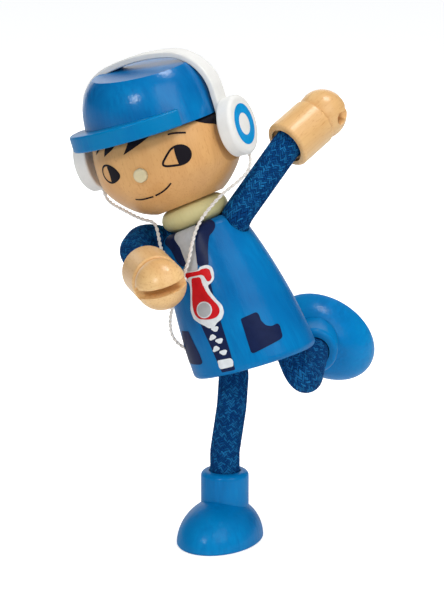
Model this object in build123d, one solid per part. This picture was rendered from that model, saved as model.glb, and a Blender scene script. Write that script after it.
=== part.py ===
from build123d import *
import math
import os

# A bendable wooden doll in a cap, a zipped jacket and headphones, caught running on one foot.
# Its head, cap, collar, body, hands and boots are turned wood. Each limb is braided rope on a
# soft wire, glued into a bored seat at both ends. A twisted lead joins both earcups to a pocket.
#
# Lengths are millimetres and angles are degrees. +Z is up, and the origin is the middle of the
# sole that the doll stands on. The viewer looks along +Y. Left and right are the doll's own.
# In the frame of a turned piece +z is up its axis, -y is its front and +x is the doll's left.

# Fits
glue_gap = 0.03  # radial, a glued peg in its hole
turn_gap = 0.05  # radial, the neck dowel in the head, which turns on it
rope_gap = 0.25  # radial, rope in a hole in the wood
lead_gap = 0.10  # radial, the lead in its holes
end_gap = 0.30  # past the end of a peg or a wire in its hole
overrun = 1.0  # how far a cutting body runs past the face that it cuts

# Rope and wire
rope_radius = 3.0
wire_radius = 0.55
wire_tail = 1.6  # wire past the end of the rope, into the wood

# Body
body_height = 30.0
body_base_radius = 12.6
body_waist_radius = 11.27
body_waist_height = 15.0
body_top_radius = 7.94
body_base_round = 1.2
body_top_round = 2.2
body_up = (-0.378, 0.156, 0.9125)
body_turn = 25.0  # how far its front is turned to the viewer's left
hem_side_slope = 5.5  # the hem is sawn this far off square, lower at the doll's left
hem_back_slope = 2.4  # and this far lower at the back
hip_side = 6.8
hip_back = 2.4  # the legs are this far behind the middle
hip_depth = 7.0
shoulder_side = 8.4
shoulder_drop = 1.5  # below the top of the body
shoulder_rise = 40.0  # the arms' holes point this far above square to the body
shoulder_depth = 5.0
pocket_height = 8.4
pocket_turn = 55.0  # the lead's hole is this far round from the front, at the doll's right
pocket_rise = 40.0  # and it points this far above square to the body

# Collar and neck
collar_radius = 6.9
collar_height = 4.6
collar_seat_radius = 4.65  # the flats at its top and foot
neck_radius = 1.5
neck_in_body = 4.0
neck_in_head = 7.0

# Head
head_radius = 14.65
head_below = 12.2  # from the widest level to the chin
head_above = 5.0  # from the widest level to the flat under the cap
head_chin_radius = 8.6
head_chin_rise = 1.55
head_cheek_radius = 13.65
head_cheek_drop = 5.5
head_top_radius = 13.95
head_top_round = 1.6
head_seat_cut = 0.75  # the neck's flat is cut this deep into the chin
head_aside = 0.6  # the neck meets the head this far to its left of the middle
head_up = (-0.284, 0.06, 0.957)
head_turn = 25.0
nose_radius = 1.4
nose_depth = 2.4
nose_proud = 0.8
nose_round = 0.35
nose_drop = 2.2
nose_turn = 3.0  # from the middle of the face towards its left

# Cap
crown_radius = 13.5
crown_side_radius = 13.2
crown_side_height = 4.2
crown_bend_radius = 12.45
crown_bend_height = 8.0
crown_shoulder_radius = 10.15
crown_shoulder_height = 11.7
crown_top_radius = 7.0
crown_top_height = 13.4
crown_height = 12.05  # of the sawn flat on top, over the middle
crown_flat_side_slope = 6.7  # the flat is sawn this far off square, lower at the doll's left
crown_flat_front_slope = 2.3  # and this far lower at the front
crown_forward = 2.2  # its middle is this far in front of the head's
cap_turn = 15.0  # the cap is worn turned this much further than the face
cap_dowel_radius = 2.0
cap_dowel_in_head = 3.5
cap_dowel_in_crown = 4.5
visor_thickness = 3.3
visor_radius = 13.8
visor_forward = 4.1  # the middle of its edge, in front of the crown's
visor_end_angle = 63.0
visor_edge_round = 0.4

# Headphones
ear_height = 1.2
ear_flat_offset = 13.8  # from the head's middle to the flats under the band's ends
band_width = 4.4
band_thickness = 1.3
band_corner_radius = 8.7
band_corner_height = 9.1
band_corner_angle = 78.0
band_end_drop = 3.0  # the band ends this far below the earcup's middle
band_edge_round = 0.35
band_seat_gap = 0.12  # round the headband where it is let into the crown
cup_radius = 6.0
cup_thickness = 3.1
cup_face_round = 0.8
cup_back_round = 0.4
ear_peg_radius = 1.4
ear_peg_in_head = 4.0
ear_peg_in_cup = 1.8

# Hands
hand_radius = 5.0
hand_length = 16.1
hand_cuff_length = 8.7
hand_rim_round = 0.7
hand_groove_round = 0.5
hand_socket_depth = 5.5
hand_recess_radius = 3.75  # the wider mouth round the rope
hand_recess_depth = 0.8
grip_radius = 1.3
grip_from_tip = 4.4
grip_slot_width = 1.7

# Boots
shoe_half_length = 11.5
shoe_half_width = 8.3
shoe_height = 8.7
shoe_sole_round = 0.5
cuff_radius = 4.9
cuff_top = 14.1  # above the sole
cuff_foot = 3.4  # the cuff stands this far above the sole, on the floor of its bore
cuff_setback = 2.4  # towards the heel from the middle of the sole
cuff_rim_round = 1.1
boot_socket_depth = 6.0
boot_turn = 23.5  # the standing boot's toe points this far to the viewer's left

# The standing leg, the doll's right, from the boot up
right_ankle_length = 4.0
right_shin_length = 9.6
right_shin_way = (0.145, 0.0, 1.0)
right_thigh_length = 7.2
right_thigh_way = (0.065, -0.02, 1.0)
right_leg_bend = 12.0
right_hip_bend = 5.0
hip_straight = 1.2  # rope below the hem before it bends

# The raised leg, the doll's left, from the hip down
left_thigh_length = 7.7
left_knee_bend = 3.3
left_shin_length = 14.2
left_shin_way = (0.148, 0.927, 0.272)
left_ankle_bend = 10.0
left_boot_up = (-0.06, -0.985, -0.10)
left_boot_front = (0.82, 0.0, -0.57)

# The raised arm, the doll's left, from the shoulder out
shoulder_bend = 3.2
left_arm_straight = 0.8
left_arm_length = 16.4
left_arm_way = (0.575, 0.277, 0.769)
left_wrist_bend = 5.0
left_hand_way = (0.657, 0.578, 0.484)
left_grip_way = (0.709, -0.692, -0.137)

# The arm in front, the doll's right, from the shoulder out
right_arm_straight = 5.1
right_upper_arm_length = 8.2
right_upper_arm_way = (-0.26, -0.94, -0.20)
right_elbow_bend = 4.6
right_forearm_length = 7.9
right_forearm_way = (0.33, -0.90, -0.29)
right_wrist_bend = 5.0
right_hand_way = (0.285, -0.957, -0.055)
right_grip_way = (0.926, 0.245, 0.287)

# Headphone lead
lead_radius = 0.4
lead_seat = 1.0  # how far its ends go into the wood
left_lead_drop = 1.1  # straight lead below the left earcup
right_lead_drop = 1.5
pocket_lead_run = 1.4  # straight lead outside the pocket
lead_bend_share = 0.45  # of the shorter run, left straight at each side of a bend's corner
knot_radius = 1.1
knot_seat = 0.35  # how far the right strand goes into the knot
left_lead_to_knot = [
    (5.6, -3.0, 76.7),
    (4.0, -4.0, 74.7),
    (0.4, -4.9, 71.7),
    (-2.6, -5.4, 69.3),
    (-4.4, -6.6, 66.8),
    (-5.5, -8.3, 63.5),
    (-6.2, -9.3, 59.7),
]
left_lead_from_knot = [
    (-8.9, -8.35, 52.5),
    (-10.0, -5.8, 47.9),
    (-9.8, -4.6, 44.3),
]
right_lead_route = [
    (-22.0, 9.4, 67.4),
    (-19.2, 5.8, 66.7),
    (-15.8, 2.3, 66.3),
    (-13.4, 0.7, 65.5),
    (-12.1, 0.0, 63.6),
    (-11.4, -2.5, 61.3),
    (-9.2, -6.2, 59.4),
]


def level_front(turn):
    """The level direction turned that far to the viewer's left from straight at the viewer."""
    return Vector(-math.sin(math.radians(turn)), -math.cos(math.radians(turn)), 0)


def upright(origin, up, front):
    """A frame at origin with +z along up and -y as near to front as it can be."""
    z = Vector(*up).normalized()
    x = z.cross(Vector(*front)).normalized()
    return Plane(origin=Vector(*origin), x_dir=x, z_dir=z)


def across(origin, along, side):
    """A frame at origin with +z along one way and +x as near to side as it can be."""
    z = Vector(*along).normalized()
    y = z.cross(Vector(*side)).normalized()
    return Plane(origin=Vector(*origin), x_dir=y.cross(z), z_dir=z)


def step(start, way, length):
    """The point that is length from start along way."""
    return start + Vector(*way).normalized() * length


def rod(radius, low, high):
    """A round bar along z, from height low to height high."""
    return Pos(0, 0, low) * extrude(Circle(radius), high - low)


def rod_between(radius, start, end):
    """A round bar from the point start to the point end."""
    along = end - start
    return Plane(origin=start, z_dir=along.normalized()).location * rod(radius, 0, along.length)


def lathe(*edges):
    """A solid of revolution about z, from edges drawn as radius and height."""
    return revolve(make_face(Plane.XZ * (Curve() + list(edges))), Axis.Z)


def rings(shape, height, radius):
    """The circular edges about z at that height and of that radius."""
    return [
        edge
        for edge in shape.edges().filter_by(GeomType.CIRCLE)
        if math.isclose(edge.arc_center.Z, height, abs_tol=0.01 * radius)
        and math.isclose(edge.radius, radius, rel_tol=0.01)
    ]


def one(shape):
    """The single solid of a shape."""
    return shape.solids()[0]


# The standing boot, then the frames of the pieces above it, each from the one below
sole_frame = upright((0, 0, 0), (0, 0, 1), level_front(boot_turn))
body_way = upright((0, 0, 0), body_up, level_front(body_turn))


def hem_height(x, y):
    """How high the sawn hem is above the foot of the body's axis, at that place on it."""
    return -x * math.tan(math.radians(hem_side_slope)) - y * math.tan(math.radians(hem_back_slope))


def hip_place(side):
    """The mouth of a hip hole in the frame of the body, with side +1 at its left."""
    x = side * hip_side
    return Vector(x, hip_back, hem_height(x, hip_back))


cuff_mouth = Vector(0, cuff_setback, cuff_top)
right_mouth = sole_frame.from_local_coords(cuff_mouth)
right_ankle = step(right_mouth, sole_frame.z_dir, right_ankle_length)
right_knee = step(right_ankle, right_shin_way, right_shin_length)
right_thigh_top = step(right_knee, right_thigh_way, right_thigh_length)
right_hip = step(right_thigh_top, body_up, hip_straight)
body_foot = right_hip - body_way.from_local_coords(hip_place(-1))
body_frame = upright(body_foot, body_up, level_front(body_turn))

seat_height = body_height + collar_height
head_height = seat_height + head_below - head_seat_cut
head_middle = body_frame.from_local_coords(Vector(-head_aside, 0, head_height))
head_frame = upright(head_middle, head_up, level_front(head_turn))
crown_in_head = Vector(0, -crown_forward, head_above)
crown_foot = head_frame.from_local_coords(crown_in_head)
crown_frame = upright(crown_foot, head_up, level_front(head_turn + cap_turn))

left_hip = body_frame.from_local_coords(hip_place(1))
left_knee = step(left_hip, -body_frame.z_dir, left_thigh_length)
left_mouth = step(left_knee, left_shin_way, left_shin_length)
left_boot_way = upright((0, 0, 0), left_boot_up, left_boot_front)
left_sole_frame = upright(
    left_mouth - left_boot_way.from_local_coords(cuff_mouth), left_boot_up, left_boot_front
)


def shoulder_frame(side):
    """The frame of a shoulder hole, +z pointing out of it, in the frame of the body."""
    rise = math.radians(shoulder_rise)
    return Plane(
        origin=Vector(side * shoulder_side, 0, body_height - shoulder_drop),
        z_dir=Vector(side * math.cos(rise), 0, math.sin(rise)),
    )


def shoulder_points(side, straight):
    """The inner end of an arm's rope, its hole's mouth, and the point where it first bends."""
    hole = shoulder_frame(side)
    heights = (-shoulder_depth, 0, straight)
    return [body_frame.from_local_coords(hole.from_local_coords(Vector(0, 0, h))) for h in heights]


left_arm_root, left_shoulder, left_arm_turn = shoulder_points(1, left_arm_straight)
left_rim = step(left_arm_turn, left_arm_way, left_arm_length)
left_hand_frame = across(left_rim, left_hand_way, left_grip_way)

right_arm_root, right_shoulder, right_arm_turn = shoulder_points(-1, right_arm_straight)
right_elbow = step(right_arm_turn, right_upper_arm_way, right_upper_arm_length)
right_rim = step(right_elbow, right_forearm_way, right_forearm_length)
right_hand_frame = across(right_rim, right_hand_way, right_grip_way)


def side_radius(side, height):
    """The radius of a drawn side at that height, where the side rises all the way."""
    low, high = 0.0, 1.0
    for _ in range(40):
        middle = (low + high) / 2
        if (side @ middle).Y < height:
            low = middle
        else:
            high = middle
    return (side @ low).X


def socket(depth):
    """The hole for a limb, down from z zero, with the pilot hole for its wire."""
    pilot = rod(wire_radius + glue_gap, -depth - wire_tail - end_gap, -depth + overrun)
    return rod(rope_radius + rope_gap, -depth, overrun) + pilot


# Body
body_side = ThreePointArc(
    (body_base_radius, 0), (body_waist_radius, body_waist_height), (body_top_radius, body_height)
)
pocket_side = level_front(pocket_turn)
pocket_mouth = pocket_side * side_radius(body_side, pocket_height) + Vector(0, 0, pocket_height)
pocket_way = pocket_side + Vector(0, 0, math.tan(math.radians(pocket_rise)))
pocket_way = pocket_way.normalized()


def make_torso():
    """The turned body, with its hem sawn off square, in its own frame."""
    stock = 2 * body_base_radius * math.tan(math.radians(hem_side_slope + hem_back_slope))
    foot = body_side @ 0 - (body_side % 0) * stock
    body = lathe(
        Line((0, foot.Y), (foot.X, foot.Y)),
        Line(foot, body_side @ 0),
        body_side,
        Line(body_side @ 1, (0, body_height)),
        Line((0, body_height), (0, foot.Y)),
    )
    slopes = (math.tan(math.radians(hem_side_slope)), math.tan(math.radians(hem_back_slope)), 1)
    hem = Plane(origin=(0, 0, 0), z_dir=slopes)
    body = one(split(body, bisect_by=hem, keep=Keep.TOP))
    body = fillet(rings(body, body_height, body_top_radius), body_top_round)
    body = fillet(body.faces().sort_by(Axis.Z)[0].edges(), body_base_round)
    for side in (-1, 1):
        body -= shoulder_frame(side).location * socket(shoulder_depth)
        body -= Plane(origin=hip_place(side), z_dir=(0, 0, -1)).location * socket(hip_depth)
    body -= rod(neck_radius + glue_gap, body_height - neck_in_body - end_gap, body_height + overrun)
    body -= Plane(origin=pocket_mouth, z_dir=pocket_way).location * rod(
        lead_radius + lead_gap, -lead_seat - end_gap, overrun
    )
    return one(body)


def make_collar():
    """The bead between the body and the head, standing on z zero."""
    middle = (collar_radius, collar_height / 2)
    foot = (collar_seat_radius, 0)
    top = (collar_seat_radius, collar_height)
    bead = lathe(
        Line((0, 0), foot),
        ThreePointArc(foot, middle, top),
        Line(top, (0, collar_height)),
        Line((0, collar_height), (0, 0)),
    )
    return one(bead - rod(neck_radius + glue_gap, -overrun, collar_height + overrun))


# Head
chin_side = Spline(
    (0, -head_below),
    (head_chin_radius, head_chin_rise - head_below),
    (head_cheek_radius, -head_cheek_drop),
    (head_radius, 0),
    tangents=((1, 0), (0, 1)),
)
nose_way = Vector(math.sin(math.radians(nose_turn)), -math.cos(math.radians(nose_turn)), 0)
nose_seat = nose_way * side_radius(chin_side, -nose_drop) - Vector(0, 0, nose_drop)
nose_frame = Plane(origin=nose_seat, z_dir=nose_way)


def make_head():
    """The turned head, flat on top and under the headband, in its own frame."""
    temple = TangentArc((head_radius, 0), (head_top_radius, head_above), tangent=(0, 1))
    ball = lathe(
        chin_side,
        temple,
        Line((head_top_radius, head_above), (0, head_above)),
        Line((0, head_above), (0, -head_below)),
    )
    ball = fillet(rings(ball, head_above, head_top_radius), head_top_round)
    for side in (-1, 1):
        flat = Plane(origin=(side * ear_flat_offset, 0, 0), z_dir=(-side, 0, 0))
        ball = one(split(ball, bisect_by=flat, keep=Keep.TOP))
        peg_hole = rod(ear_peg_radius + glue_gap, -ear_peg_in_head - end_gap, overrun)
        ball -= ear_frame(side).location * peg_hole
    ball -= nose_frame.location * rod(nose_radius + glue_gap, -nose_depth, 2 * overrun)
    cap_hole = rod(cap_dowel_radius + glue_gap, -cap_dowel_in_head - end_gap, overrun)
    ball -= Location(crown_in_head) * cap_hole
    ball = head_frame.location * one(ball)
    seat_middle = body_frame.from_local_coords(Vector(0, 0, seat_height))
    seat = Plane(origin=seat_middle, z_dir=body_frame.z_dir)
    ball = one(split(ball, bisect_by=seat, keep=Keep.TOP))
    return one(ball - seat.location * rod(neck_radius + turn_gap, -overrun, neck_in_head + end_gap))


def make_nose():
    """The nose peg, with its round end proud of the face, in the frame of its hole."""
    peg = rod(nose_radius, -nose_depth, nose_proud)
    return fillet(rings(peg, nose_proud, nose_radius), nose_round)


# Cap
def crown_shape(grow):
    """The turned crown of the cap, its side moved out by grow, standing on z zero."""
    side = Spline(
        (crown_radius + grow, 0),
        (crown_side_radius + grow, crown_side_height),
        (crown_bend_radius + grow, crown_bend_height),
        (crown_shoulder_radius + grow, crown_shoulder_height),
        (crown_top_radius + grow, crown_top_height),
    )
    top = (0, crown_top_height)
    dome = lathe(Line((0, 0), side @ 0), side, Line(side @ 1, top), Line(top, (0, 0)))
    side_slope = math.tan(math.radians(crown_flat_side_slope))
    front_slope = math.tan(math.radians(crown_flat_front_slope))
    flat = Plane(origin=(0, 0, crown_height), z_dir=(side_slope, -front_slope, 1))
    return one(split(dome, bisect_by=flat, keep=Keep.BOTTOM))


def make_crown():
    """The crown of the cap with the hole for its dowel and a shallow seat for the headband."""
    hole = rod(cap_dowel_radius + glue_gap, -overrun, cap_dowel_in_crown + end_gap)
    seat = crown_frame.location.inverse() * head_frame.location * band_strip(band_seat_gap)
    return one(crown_shape(0) - hole - seat)


def make_visor():
    """The peak of the cap, a thick plate that fits round the front of the crown."""
    plate = Pos(0, -visor_forward, 0) * rod(visor_radius, 0, visor_thickness)
    plate = fillet(plate.edges().filter_by(GeomType.CIRCLE), visor_edge_round)
    reach = 2 * (visor_radius + visor_forward)
    end = math.radians(visor_end_angle)
    side, front = reach * math.sin(end), reach * math.cos(end)
    sector = Polyline((0, 0), (side, -front), (side, -reach), (-side, -reach), (-side, -front), (0, 0))
    sector = Pos(0, 0, -overrun) * extrude(make_face(sector), visor_thickness + 2 * overrun)
    return one((plate & sector) - crown_shape(glue_gap))


# Headphones
def ear_frame(side):
    """The frame of an ear in the head, at the flat and with +z pointing out, side +1 the left."""
    return Plane(origin=(side * ear_flat_offset, 0, ear_height), x_dir=(0, side, 0), z_dir=(side, 0, 0))


def band_line(grow):
    """One face of the headband, drawn as width and height, moved out by grow."""
    half = ear_flat_offset + grow
    right = Line((half, ear_height - band_end_drop), (half, band_corner_height))
    corner = JernArc(right @ 1, (0, 1), band_corner_radius + grow, band_corner_angle)
    end = corner @ 1
    top = TangentArc(end, (-end.X, end.Y), tangent=corner % 1)
    return [right, corner, top, mirror(corner, Plane.YZ), mirror(right, Plane.YZ)]


def band_strip(grow):
    """The headband's strip bent over the cap, its faces and edges moved out by grow."""
    low = ear_height - band_end_drop
    near, far = ear_flat_offset - grow, ear_flat_offset + band_thickness + grow
    inner, outer = band_line(-grow), band_line(band_thickness + grow)
    ends = [Line((side * near, low), (side * far, low)) for side in (-1, 1)]
    strip = make_face(Plane.XZ * (Curve() + inner + outer + ends))
    return extrude(strip, band_width / 2 + grow, both=True)


def make_band():
    """The headband with rounded edges and a hole for a peg at each end."""
    strip = band_strip(0)
    strip = fillet(strip.edges().filter_by(Axis.Y, reverse=True), band_edge_round)
    hole = rod(ear_peg_radius + glue_gap, -overrun, band_thickness + overrun)
    for side in (-1, 1):
        strip -= ear_frame(side).location * hole
    return one(strip)


def make_earcup(side):
    """An earcup in the frame of its ear, with a blind hole for its peg and one for the lead."""
    back = band_thickness
    face = back + cup_thickness
    cup = rod(cup_radius, back, face)
    cup = fillet(rings(cup, face, cup_radius), cup_face_round)
    cup = fillet(rings(cup, back, cup_radius), cup_back_round)
    cup -= rod(ear_peg_radius + glue_gap, back - overrun, back + ear_peg_in_cup + end_gap)
    cup = ear_frame(side).location * cup
    hole = Plane(origin=lead_exit(side), z_dir=(0, 0, -1)).location
    return one(cup - hole * rod(lead_radius + lead_gap, -lead_seat - end_gap, overrun))


def lead_exit(side):
    """Where the lead leaves the foot of an earcup, in the frame of the head."""
    return Vector(side * (ear_flat_offset + band_thickness + cup_thickness / 2), 0, ear_height - cup_radius)


def make_ear_peg(side):
    """The peg through the headband, from the head into an earcup."""
    peg = rod(ear_peg_radius, -ear_peg_in_head, band_thickness + ear_peg_in_cup)
    return ear_frame(side).location * peg


# Hands and boots
def make_hand():
    """A hand, its rim at z zero and its tip up, with the grip's bore along x."""
    cuff = rod(hand_radius, 0, hand_cuff_length)
    cuff = fillet(rings(cuff, 0, hand_radius), hand_rim_round)
    cuff = fillet(rings(cuff, hand_cuff_length, hand_radius), hand_groove_round)
    hand = cuff + Pos(0, 0, hand_length - hand_radius) * Sphere(hand_radius)
    hand -= rod(hand_recess_radius, -overrun, hand_recess_depth)
    hand -= Plane(origin=(0, 0, 0), z_dir=(0, 0, -1)).location * socket(hand_socket_depth)
    grip_height = hand_length - grip_from_tip
    reach = hand_radius + overrun
    bore_frame = Plane(origin=(-reach, 0, grip_height), z_dir=(1, 0, 0))
    bore = bore_frame.location * rod(grip_radius, 0, 2 * reach)
    slot_height = grip_from_tip + overrun
    slot = Pos(0, 0, grip_height + slot_height / 2) * Box(2 * reach, grip_slot_width, slot_height)
    return one(hand - bore - slot)


def make_shoe():
    """A shoe, the upper half of an egg, standing on z zero with its toe towards -y."""
    widths = (shoe_half_width / shoe_height, shoe_half_length / shoe_height, 1)
    shoe = scale(Sphere(shoe_height), by=widths)
    shoe = one(split(shoe, bisect_by=Plane.XY, keep=Keep.TOP))
    shoe = fillet(shoe.faces().sort_by(Axis.Z)[0].edges(), shoe_sole_round)
    return one(shoe - Pos(0, cuff_setback, 0) * rod(cuff_radius + glue_gap, cuff_foot, cuff_top))


def make_cuff():
    """The cuff of a boot, glued into the shoe and bored for the leg."""
    cuff = Pos(0, cuff_setback, 0) * rod(cuff_radius, cuff_foot, cuff_top)
    cuff = fillet(rings(cuff, cuff_top, cuff_radius), cuff_rim_round)
    return one(cuff - Location(cuff_mouth) * socket(boot_socket_depth))


# Limbs
def limb_line(points, bends, tail):
    """The middle line of a limb, run on past both ends by tail."""
    first = points[0] + (points[0] - points[1]).normalized() * tail
    last = points[-1] + (points[-1] - points[-2]).normalized() * tail
    return FilletPolyline(first, *points[1:-1], last, radius=bends)


def swept(line, radius):
    """A round bar along a line."""
    return sweep(Plane(origin=line @ 0, z_dir=line % 0) * Circle(radius), path=line)


def halves(line, joint):
    """A line cut in two at the point joint."""
    share = line.param_at_point(joint)
    return [Wire(line.edges()).trim(0, share), Wire(line.edges()).trim(share, 1)]


def add_limb(names, points, bends, corner):
    """The rope and the wire of a limb, cut in two at the bend at corner, or else in mid-run."""
    plain = limb_line(points, bends, 0)
    if corner is None:
        run = max(plain.edges().filter_by(GeomType.LINE), key=lambda edge: edge.length)
        joint = run @ 0.5
    else:
        bend = plain.edges().filter_by(GeomType.CIRCLE).sort_by_distance(corner)[0]
        joint = bend @ 0.5
    for name, line in zip(names, halves(plain, joint)):
        parts[name + "_rope"] = one(swept(line, rope_radius) - swept(line, wire_radius + glue_gap))
    for name, line in zip(names, halves(limb_line(points, bends, wire_tail), joint)):
        parts[name + "_wire"] = one(swept(line, wire_radius))


right_leg_points = [
    step(right_mouth, -sole_frame.z_dir, boot_socket_depth),
    right_ankle,
    right_knee,
    right_thigh_top,
    step(right_hip, body_frame.z_dir, hip_depth),
]
left_leg_points = [
    step(left_hip, body_frame.z_dir, hip_depth),
    left_knee,
    left_mouth,
    step(left_mouth, -left_sole_frame.z_dir, boot_socket_depth),
]
left_arm_points = [
    left_arm_root,
    left_arm_turn,
    left_rim,
    step(left_rim, left_hand_frame.z_dir, hand_socket_depth),
]
right_arm_points = [
    right_arm_root,
    right_arm_turn,
    right_elbow,
    right_rim,
    step(right_rim, right_hand_frame.z_dir, hand_socket_depth),
]

# The pieces, each by its name
neck_dowel = rod(neck_radius, body_height - neck_in_body, seat_height + neck_in_head)
cap_dowel = rod(cap_dowel_radius, -cap_dowel_in_head, cap_dowel_in_crown)
parts = {
    "torso": body_frame.location * make_torso(),
    "collar": body_frame.location * Pos(0, 0, body_height) * make_collar(),
    "neck_dowel": body_frame.location * neck_dowel,
    "head": make_head(),
    "nose_peg": head_frame.location * nose_frame.location * make_nose(),
    "cap_crown": crown_frame.location * make_crown(),
    "cap_visor": crown_frame.location * make_visor(),
    "cap_dowel": crown_frame.location * cap_dowel,
    "headband": head_frame.location * make_band(),
    "left_hand": left_hand_frame.location * make_hand(),
    "right_hand": right_hand_frame.location * make_hand(),
}
for side_name, side in (("left", 1), ("right", -1)):
    parts[side_name + "_earcup"] = head_frame.location * make_earcup(side)
    parts[side_name + "_ear_peg"] = head_frame.location * make_ear_peg(side)
for side_name, frame in (("left", left_sole_frame), ("right", sole_frame)):
    parts[side_name + "_shoe"] = frame.location * make_shoe()
    parts[side_name + "_boot_cuff"] = frame.location * make_cuff()

right_leg_bends = [right_leg_bend, right_leg_bend, right_hip_bend]
left_leg_bends = [left_knee_bend, left_ankle_bend]
left_arm_bends = [shoulder_bend, left_wrist_bend]
right_arm_bends = [shoulder_bend, right_elbow_bend, right_wrist_bend]
add_limb(("right_shin", "right_thigh"), right_leg_points, right_leg_bends, right_knee)
add_limb(("left_thigh", "left_shin"), left_leg_points, left_leg_bends, left_knee)
add_limb(("left_upper_arm", "left_forearm"), left_arm_points, left_arm_bends, None)
add_limb(("right_upper_arm", "right_forearm"), right_arm_points, right_arm_bends, right_elbow)


# The lead, each strand from its hole in an earcup
def lead_line(side, drop, route, ends):
    """A strand's middle line, from an earcup along its route, with the radii of its bends."""
    exit_point = head_frame.from_local_coords(lead_exit(side))
    down = -head_frame.z_dir
    corners = [step(exit_point, down, -lead_seat), step(exit_point, down, drop)]
    corners += [Vector(*point) for point in route] + ends
    radii = []
    for before, corner, after in zip(corners, corners[1:], corners[2:]):
        turn = (corner - before).get_angle(after - corner)
        shorter = min((corner - before).length, (after - corner).length)
        radii.append(lead_bend_share * shorter / math.tan(math.radians(turn / 2)))
    return FilletPolyline(*corners, radius=radii), radii


knot_start, knot_end = Vector(*left_lead_to_knot[-1]), Vector(*left_lead_from_knot[0])
knot_centre = (knot_start + knot_end) / 2
knot_frame = Plane(origin=knot_centre, z_dir=(knot_end - knot_start).normalized())
pocket_point = body_frame.from_local_coords(pocket_mouth)
pocket_out = body_frame.from_local_coords(pocket_mouth + pocket_way) - pocket_point
left_ends = [step(pocket_point, pocket_out, pocket_lead_run), step(pocket_point, pocket_out, -lead_seat)]
right_last = Vector(*right_lead_route[-1])
right_ends = [step(knot_centre, right_last - knot_centre, knot_radius - knot_seat)]
left_lead_route = left_lead_to_knot + left_lead_from_knot
left_strand, left_radii = lead_line(1, left_lead_drop, left_lead_route, left_ends)
right_strand, right_radii = lead_line(-1, right_lead_drop, right_lead_route, right_ends)
print("bend radii of the left strand", [round(radius, 2) for radius in left_radii])
print("bend radii of the right strand", [round(radius, 2) for radius in right_radii])
parts["left_lead"] = one(swept(left_strand, lead_radius))
parts["right_lead"] = one(swept(right_strand, lead_radius))
for name, strand in (("left_lead", left_strand), ("right_lead", right_strand)):
    bar = math.pi * lead_radius**2 * strand.length
    print(name, "length", round(strand.length, 1), "against a bar", round(parts[name].volume / bar, 3))
knot = Location(knot_centre) * Sphere(knot_radius)
knot -= knot_frame.location * rod(lead_radius + lead_gap, -2 * knot_radius, 2 * knot_radius)
knot -= rod_between(lead_radius, right_ends[0], right_last)
parts["lead_knot"] = one(knot)

os.makedirs("parts", exist_ok=True)
for name, shape in parts.items():
    shape.label = name
    export_step(shape, f"parts/{name}.step")
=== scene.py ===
import math

import bmesh
import bpy
import numpy as np
from mathutils import Matrix, Vector
from mathutils.bvhtree import BVHTree


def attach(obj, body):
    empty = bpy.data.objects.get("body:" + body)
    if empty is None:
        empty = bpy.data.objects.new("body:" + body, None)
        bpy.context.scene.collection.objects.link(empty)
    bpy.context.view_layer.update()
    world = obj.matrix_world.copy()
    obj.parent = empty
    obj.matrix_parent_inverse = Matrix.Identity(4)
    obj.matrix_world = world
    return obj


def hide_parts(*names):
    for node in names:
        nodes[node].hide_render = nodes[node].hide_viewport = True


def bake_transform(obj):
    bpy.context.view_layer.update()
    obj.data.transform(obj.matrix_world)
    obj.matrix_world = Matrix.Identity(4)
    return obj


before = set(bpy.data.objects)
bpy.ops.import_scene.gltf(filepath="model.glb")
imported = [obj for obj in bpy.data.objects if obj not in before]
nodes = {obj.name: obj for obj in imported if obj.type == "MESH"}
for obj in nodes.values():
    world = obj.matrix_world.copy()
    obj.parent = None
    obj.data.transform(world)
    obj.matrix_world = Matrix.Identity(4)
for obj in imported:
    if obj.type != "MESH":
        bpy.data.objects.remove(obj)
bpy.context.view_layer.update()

# The looks of a bendable wooden doll, dressed over its CAD pieces: braided sleeves on its limbs,
# a twisted lead, a printed face and jacket, gloss paint and varnished wood. Lengths in the lists
# are millimetres in the frame of the CAD and become metres where a mesh is made. Left and right
# are the doll's own.
MM = 0.001
FIRST_SIDE = (0.3, 1.0, 0.2)  # no line here starts this way, so a side of each can be found from it


def unit(way):
    """A way as an array of length 1."""
    return np.array(way, float) / np.linalg.norm(way)


def level_front(turn):
    """The level way turned that many degrees to the viewer's left from straight at the viewer."""
    return (-math.sin(math.radians(turn)), -math.cos(math.radians(turn)), 0)


def upright(origin, up, front):
    """A place: its origin, its left, its back and its top, with its front as near to front as can be."""
    top = unit(up)
    left = unit(np.cross(top, front))
    return origin, left, np.cross(top, left), top


def across(origin, along, side):
    """A place with its top along one way and its left as near to side as can be."""
    top = unit(along)
    back = unit(np.cross(top, side))
    return origin, np.cross(back, top), back, top


# Photograph and camera
RENDER_SIZE = (888, 1200)
LENS_MM = 144.0
SENSOR_MM = 36.0
CAMERA_PLACE = (0.37, -467.7, 158.18)
CAMERA_DOWN = 13.0
NEAREST_SEEN = 10.0

# Places of the turned pieces, each from a point on its axis. Turns are in degrees, towards the
# viewer's left
BODY_UP = (-0.378, 0.156, 0.9125)
HEAD_UP = (-0.284, 0.06, 0.957)
BODY_TURN = 25.0
HEAD_TURN = 25.0
CAP_TURN = 15.0  # the cap is worn turned this much further than the face
BOOT_TURN = 23.5
BODY_PLACE = upright((7.1845, -2.6473, 38.1117), BODY_UP, level_front(BODY_TURN))
HEAD_PLACE = upright((-10.7198, 4.7684, 79.8898), HEAD_UP, level_front(HEAD_TURN))
CROWN_PLACE = upright((-13.0304, 3.0615, 84.536), HEAD_UP, level_front(HEAD_TURN + CAP_TURN))
RIGHT_BOOT_PLACE = upright((0, 0, 0), (0, 0, 1), level_front(BOOT_TURN))
LEFT_BOOT_PLACE = upright((21.9787, 23.0824, 37.2199), (-0.06, -0.985, -0.1), (0.82, 0, -0.57))
LEFT_HAND_PLACE = across((13.1079, 2.9484, 80.8912), (0.657, 0.578, 0.484), (0.709, -0.692, -0.137))
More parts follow.
